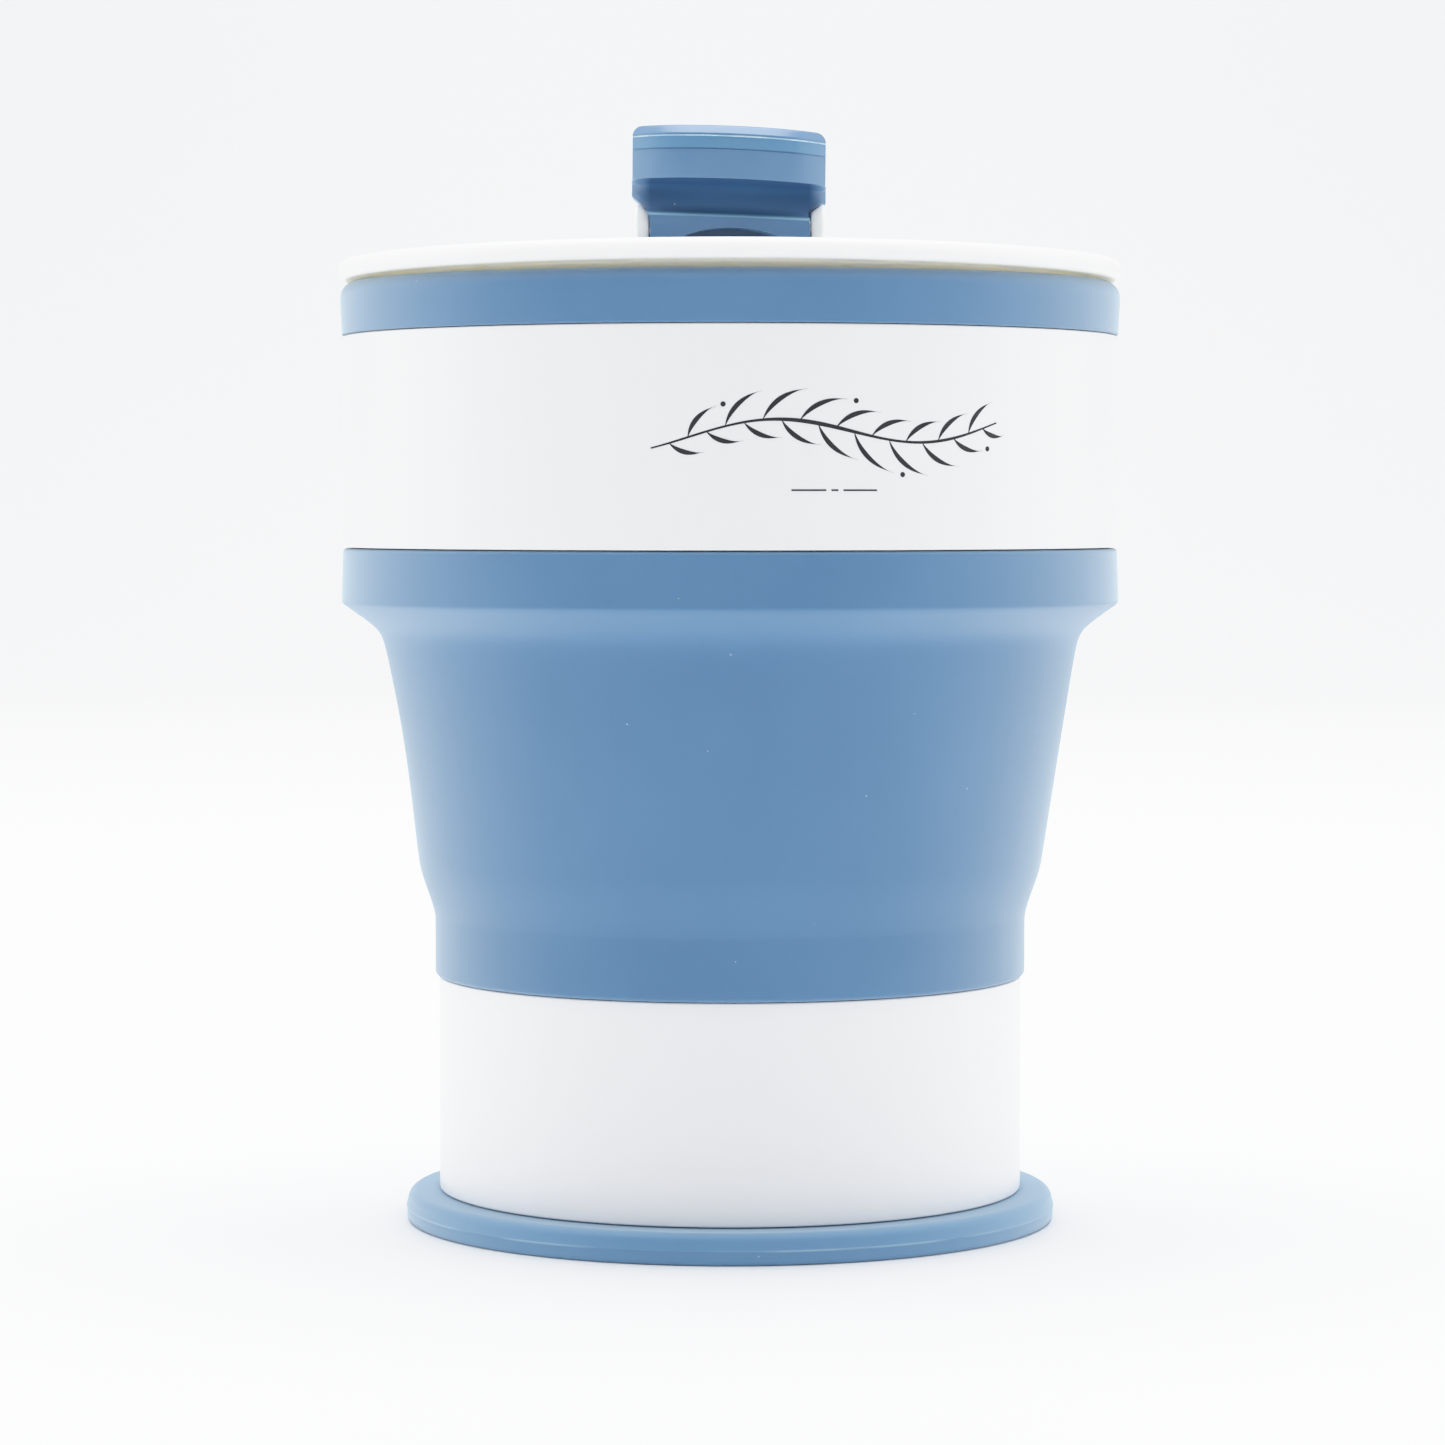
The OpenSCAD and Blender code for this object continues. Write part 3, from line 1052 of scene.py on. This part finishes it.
def makeEar(name, side):
    # a round-topped upright, thicker towards the outside, spreading at its foot
    stations = soften(
        [
            (ear["inX"], 0, 0),
            (ear["inX"], ear["inR"], ear["edge"]),
            (ear["outX"] + 0.05, ear["outR"], ear["edge"]),
            (ear["outX"] + 0.05, 0, 0),
        ]
    )[1:-1]
    steps = ear["footSteps"]
    drop = pinCentre.z - dishZ + ear["sunk"]
    layers = []
    for x, radius in stations:
        loop = []
        for i in range(ear["turns"] + 1):
            angle = math.pi * i / ear["turns"]
            y, z = radius * math.cos(angle), radius * math.sin(angle)
            loop.append((x * side, pinCentre.y + y, pinCentre.z + z))
        outward = (x - ear["inX"]) / (ear["outX"] - ear["inX"])
        for flank, shares in ((-1, steps), (1, steps[::-1])):
            for share in shares:
                spread = ear["foot"] * max(0.0, share - 0.8) / 0.2
                inward = x * (1 - ear["draught"] * share * outward)
                y = pinCentre.y + flank * (radius + spread)
                loop.append((inward * side, y, pinCentre.z - drop * share))
        layers.append(loop)
    made = stacked(name, layers, frostedEar, sharp=50)
    across = [side * ear["boreFrom"], side * ear["boreTo"]]
    bore = crossBar("bore", [ear["bore"]] * 2, across, pinCentre.y, pinCentre.z)
    return cutOrJoin(made, bore, "DIFFERENCE")


frostedEar = earFinish(earLook)
for side, name in ((-1, "earLeft"), (1, "earRight")):
    piece = tipped(makeEar(name, side))
    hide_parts("lid_plate")
    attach(piece, "lid")
print("hinge ears made")


hinge = {"chamfer": 0.25, "point": 0.01}


def makePin():
    cham = hinge["chamfer"]
    xs = [pinLow.x, pinLow.x, pinLow.x + cham, pinHigh.x - cham, pinHigh.x, pinHigh.x]
    radii = [hinge["point"], pinR - cham, pinR, pinR, pinR - cham, hinge["point"]]
    made = crossBar("hingeRod", radii, xs, pinCentre.y, pinCentre.z, 48)
    made.data.materials.append(pinFinish(pinLook))
    return made


hingeRod = tipped(makePin())
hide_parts("hinge_pin")
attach(hingeRod, "lid")
print("hinge pin made")


# heights are above the lid's edge, depths are behind the head's front
head = {
    "top": 16.52,
    "topEdge": 1.1,
    "topDepth": 3.2,
    "seam": 15.15,
    "seamHalf": 0.04,
    "seamProud": 0.08,
    "crease": 13.6,
    "creaseHalf": 0.05,
    "creaseDepth": 0.24,
    "stripDepth": 0.13,
    "lip": 10.05,
    "lipDepth": 0.34,
    "grooveTopDepth": 4.3,
    "grooveLowDepth": 3.9,
    "ledge": 5.72,
    "ledgeDepth": 2.5,
    "half": 11.88,
    "lowBulge": 0.1,
    "neckHalf": 9.82,
    "wing": 8.0,
    "wingIn": 5.4,
    "wingCurve": 1.4,
    "frontR": 13.8,
    "neckR": 26.0,
    "bendFrom": 4.8,
    "back": 13.0,
    "hubR": 4.4,
    "archTop": 4.2,
    "archR": 17.5,
    "archBack": 4.7,
    "corner": 0.35,
    "cornerRound": 1.2,
    "topDraw": 0.3,
    "roll": 2.2,
    "lean": 0.008,
    "aside": -0.16,
    "frontSteps": 32,
    "outlineStep": 0.3,
}
hubZ = pinCentre.z - lidZ


def denser(outline, step):
    # adds points along the stretches longer than a step
    points = [outline[0]]
    for before, after in zip(outline, outline[1:]):
        parts = max(1, math.ceil(math.dist(before, after) / step))
        for i in range(1, parts + 1):
            points.append(tuple(mix(a, b, i / parts) for a, b in zip(before, after)))
    return points


def headProfile():
    # the front's side outline as (depth, height, rounding), then the round of the hub
    seam, seamHalf, proud = head["seam"], head["seamHalf"], head["seamProud"]
    crease, creaseHalf, creaseDepth = head["crease"], head["creaseHalf"], head["creaseDepth"]
    outline = soften(
        [
            (head["topDepth"], head["top"] + 0.04, 0),
            (head["topEdge"], head["top"], 0.9),
            (0.0, seam + 0.3, 0.2),
            (0.0, seam + 2 * seamHalf, 0),
            (-proud, seam + seamHalf, 0),
            (-proud, seam - seamHalf, 0),
            (0.0, seam - 2 * seamHalf, 0),
            (0.0, crease + 0.08, 0),
            (creaseDepth, crease + creaseHalf, 0),
            (creaseDepth, crease - creaseHalf, 0),
            (head["stripDepth"], crease - 0.08, 0),
            (head["lipDepth"], head["lip"], 0.07),
            (head["grooveTopDepth"], head["lip"] - 0.55, 1.4),
            (head["grooveLowDepth"], head["ledge"] + 0.5, 1.2),
            (head["ledgeDepth"], head["ledge"], 0.22),
            (pinCentre.y - head["hubR"], hubZ, 0),
        ],
        4,
    )
    outline = denser(outline, head["outlineStep"])
    for i in range(1, 9):
        angle = math.radians(10 * i)
        depth = pinCentre.y - head["hubR"] * math.cos(angle)
        outline.append((depth, hubZ - head["hubR"] * math.sin(angle)))
    return outline


def headHalf(depth, height):
    # half the width, and how far the rounded top edge draws it in
    rounding = head["cornerRound"]
    over = max(0.0, height - (head["top"] - rounding))
    inset = rounding - math.sqrt(max(0.0, rounding**2 - over**2))
    if height > head["top"] - 0.01:
        inset += depth * head["topDraw"]
    slant = min(max((height - head["wingIn"]) / (head["wing"] - head["wingIn"]), 0), 1)
    bulge = head["lowBulge"] if height < head["lip"] - 0.05 else 0.0
    half = mix(head["neckHalf"], head["half"] + bulge, slant ** head["wingCurve"]) - inset
    return half, inset


def headBack(height, inset):
    if height < hubZ:
        rise = height - hubZ
        return pinCentre.y + math.sqrt(max(0.05, head["hubR"] ** 2 - rise**2))
    share = ease((height - hubZ) / 3)
    return mix(pinCentre.y + head["hubR"], head["back"] - inset, share)


def headSlice(depth, height):
    half, inset = headHalf(depth, height)
    back = headBack(height, inset)
    bendShare = ease((height - head["bendFrom"]) / (head["lip"] - head["bendFrom"]))
    bend = mix(head["neckR"], head["frontR"], bendShare)
    bow = ease(height / hubZ)
    corner = head["corner"]
    steps = head["frontSteps"]
    outline = []
    for i in range(steps + 1):
        x = half * (2 * i / steps - 1)
        rounding = corner if i in (0, steps) else 0
        outline.append((x, depth + (bend - math.sqrt(bend**2 - x * x)) * bow, rounding))
    outline += [(half, back, corner), (-half, back, corner)]
    return [(x, y, lidZ + height) for x, y in soften(outline, 4)]


def rolled(piece):
    # the head sits a little askew; the neck and the arm lie true
    for vertex in piece.data.vertices:
        x, y, z = vertex.co * metre
        share = ease((z - lidZ) / head["ledge"])
        drop = math.tan(math.radians(head["roll"])) * share * x
        lean = max(0.0, z - lidZ - head["wing"]) * head["lean"]
        aside = head["aside"] * ease((z - lidZ - head["archTop"]) / 2)
        vertex.co = Vector((x + lean + aside, y, z - drop)) / metre


arm = {
    "low": 0.6,
    "thick": 3.0,
    "half": 8.0,
    "reach": plugY,
    "root": 9.0,
    "round": 0.7,
    "endSteps": 32,
    "slopeRoot": 8.0,
    "slopeTop": 11.5,
    "slopeFoot": 21.5,
    "slopeCurve": 1.8,
    "slopeSteps": 24,
    "slopeRound": 1.6,
}


def armLayers():
    low, high = arm["low"], arm["low"] + arm["thick"]
    rise = soften(
        [
            (4.0, low, 0),
            (0, low, arm["round"]),
            (0, high, arm["round"] * 1.4),
            (4.0, high, 0),
        ],
        5,
    )[1:-1]
    layers = []
    for inset, height in rise:
        half = arm["half"] - inset
        loop = [(-half, arm["root"]), (half, arm["root"])]
        for i in range(arm["endSteps"] + 1):
            angle = math.pi * i / arm["endSteps"]
            loop.append((half * math.cos(angle), arm["reach"] + half * math.sin(angle)))
        layers.append([(x, y, lidZ + height) for x, y in loop])
    return layers


def slopeLayers():
    # the hollow slope that runs from the head's back down into the arm
    layers = []
    low, high = arm["low"] + 0.5, head["top"] - 0.9
    root = arm["slopeRoot"]
    for i in range(arm["slopeSteps"] + 1):
        t = i / arm["slopeSteps"]
        reach = mix(arm["slopeFoot"], arm["slopeTop"], 1 - (1 - t) ** arm["slopeCurve"])
        half = mix(arm["half"] - 0.2, arm["half"] - 1.2, t)
        rounding = arm["slopeRound"]
        corners = [
            (-half, root, 0.3),
            (half, root, 0.3),
            (half, reach, rounding),
            (-half, reach, rounding),
        ]
        layers.append([(x, y, lidZ + mix(low, high, t)) for x, y in soften(corners, 6)])
    return layers


lever = {
    "room": 0.42,
    "boreRoom": 0.1,
    "boreMouth": 0.5,
    "boreEnds": (-13, -2, 2, 13),
    "archTurns": 48,
    "sharp": 32,
}


def roomCone(side):
    # the space that the neck leaves round an ear
    flare = (ear["outR"] - ear["inR"]) / (ear["outX"] - ear["inX"])
    ends = (ear["inX"] - 0.3, head["half"] + 2)
    radii = [ear["inR"] + lever["room"] + flare * (x - ear["inX"]) for x in ends]
    return crossBar("room", radii, [side * x for x in ends], pinCentre.y, pinCentre.z, 96)


def pinBore():
    radii = [pinR + lever[key] for key in ("boreMouth", "boreRoom", "boreRoom", "boreMouth")]
    return crossBar("bore", radii, lever["boreEnds"], pinCentre.y, pinCentre.z)


def archLayers():
    middle = lidZ + head["archTop"] - head["archR"]
    layers = []
    for y in (-1.0, head["archBack"]):
        loop = []
        for i in range(lever["archTurns"] + 1):
            angle = math.radians(50 + 80 * i / lever["archTurns"])
            x, z = head["archR"] * math.cos(angle), head["archR"] * math.sin(angle)
            loop.append((x, y, middle + z))
        layers.append(loop + [(-8, y, lidZ - 3), (8, y, lidZ - 3)])
    return layers


def makeLever():
    made = stacked("sipLever", [headSlice(d, h) for d, h in headProfile()], None)
    made.data.materials.append(leverFinish(leverLook, head, lidZ))
    made.data.materials.append(seamGlintFinish(seamGlintLook))
    # the faces of the seam ridge take the painted glints
    for face in made.data.polygons:
        middle = face.center * metre
        if abs(middle.z - lidZ - head["seam"]) < 0.06 and middle.y < head["back"] - 0.6:
            face.material_index = 1
    rolled(made)
    for side in (-1, 1):
        made = cutOrJoin(made, roomCone(side), "DIFFERENCE")
    made = cutOrJoin(made, stacked("slope", slopeLayers(), None), "UNION")
    made = cutOrJoin(made, stacked("arm", armLayers(), None), "UNION")
    made = cutOrJoin(made, pinBore(), "DIFFERENCE")
    made = cutOrJoin(made, stacked("arch", archLayers(), None), "DIFFERENCE")
    made.data.shade_smooth()
    made.data.set_sharp_from_angle(angle=math.radians(lever["sharp"]))
    return made


sipLever = tipped(makeLever())
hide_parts("sip_lever")
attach(sipLever, "lever")
print("flip lever made")


plug = {
    "tipR": 4.0,
    "neckR": 4.8,
    "flangeR": 6.6,
    "flangeGap": 0.3,
    "pegR": 1.55,
    "pegTall": 1.6,
}


def plugOutline():
    flangeZ = dishZ + plug["flangeGap"]
    armZ = lidZ + arm["low"] - pushGap
    pegZ = armZ + plug["pegTall"]
    return soften(
        [
            (0, plugLow.z, 0),
            (plug["tipR"], plugLow.z, 0.5),
            (plug["neckR"], flangeZ, 0.2),
            (plug["flangeR"], flangeZ, 0.3),
            (plug["flangeR"], armZ, 0.25),
            (plug["pegR"], armZ, 0.1),
            (plug["pegR"], pegZ, 0.3),
            (0, pegZ, 0),
        ]
    )


sipPlug = turned("sipPlug", plugOutline(), blueSilicone, centre=(0, plugY), segments=96)
tipped(sipPlug)
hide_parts("sip_plug")
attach(sipPlug, "lever")
print("plug made")


stage = {
    "width": 6.0,
    "depth": 1.6,
    "front": -1.6,
    "height": 2.6,
    "bend": 0.9,
    "bendSteps": 24,
}


def makeStage():
    bend, steps = stage["bend"], stage["bendSteps"]
    sweep = [(stage["front"], 0.0), (stage["depth"], 0.0)]
    for i in range(1, steps + 1):
        angle = math.pi / 2 * i / steps
        sweep.append((stage["depth"] + bend * math.sin(angle), bend * (1 - math.cos(angle))))
    sweep.append((stage["depth"] + bend, stage["height"]))
    half = stage["width"] / 2
    points = [Vector((x, y, z)) * metre for y, z in sweep for x in (-half, half)]
    faces = [[2 * i, 2 * i + 1, 2 * i + 3, 2 * i + 2] for i in range(len(sweep) - 1)]
    floor = makePiece("paleSweep", points, faces, floorFinish(floorLook))


light = {
    "air": 0.44,
    "airColour": rgb(0.96, 0.975, 1.0),
    # place, aim, width, height and watts
    "boxes": {
        "leftBox": ((-1.3, 0.3, 0.55), (0, 0, 0.07), 1.2, 1.4, 6),
        "rightBox": ((1.3, 0.3, 0.55), (0, 0, 0.07), 1.2, 1.4, 6),
        "topBox": ((0, 0.15, 1.5), (0, 0, 0), 1.6, 1.4, 34),
        "backBox": ((0, 1.3, 1.6), (0, 2.4, 0.5), 2.4, 0.8, 14),
    },
}


def softbox(name, place, aim, width, height, power):
    box = bpy.data.lights.new(name, "AREA")
    box.shape = "RECTANGLE"
    box.size = width
    box.size_y = height
    box.energy = power
    lamp = bpy.data.objects.new(name, box)
    lamp.location = place
    lamp.rotation_euler = (Vector(aim) - Vector(place)).to_track_quat("-Z", "Y").to_euler()
    lamp.visible_camera = False
    bpy.context.scene.collection.objects.link(lamp)


def makeLight():
    world = bpy.data.worlds.new("studioAir")
    bpy.context.scene.world = world
    world.use_nodes = True
    air = world.node_tree.nodes["Background"]
    air.inputs["Color"].default_value = light["airColour"]
    air.inputs["Strength"].default_value = light["air"]
    for name, values in light["boxes"].items():
        softbox(name, *values)


tone = {"whiteLevel": 2, "points": ((0.36, 0.72), (0.5, 0.885), (0.7, 0.965))}


def makeTone():
    # a soft shoulder keeps the pale floor just under full white
    view = bpy.context.scene.view_settings
    view.view_transform = "Standard"
    view.use_curve_mapping = True
    curve = view.curve_mapping
    curve.white_level = [tone["whiteLevel"]] * 3
    for place, level in tone["points"]:
        curve.curves[3].points.new(place, level)
    curve.update()


shot = {
    "sensor": 36,
    "lens": 116.45,
    "near": 0.02,
    "far": 20,
    "place": (0, -0.5706, 0.087),
    "down": 2.66,
    "left": 0.092,
}


def makeCamera():
    lens = bpy.data.cameras.new("view")
    lens.sensor_width = shot["sensor"]
    lens.lens = shot["lens"]
    lens.clip_start = shot["near"]
    lens.clip_end = shot["far"]
    camera = bpy.data.objects.new("view", lens)
    camera.location = shot["place"]
    camera.rotation_euler = (math.radians(90 - shot["down"]), 0, math.radians(shot["left"]))
    bpy.context.scene.collection.objects.link(camera)
    bpy.context.scene.camera = camera


makeStage()
makeLight()
makeCamera()
makeTone()
print("stage, light and camera ready")
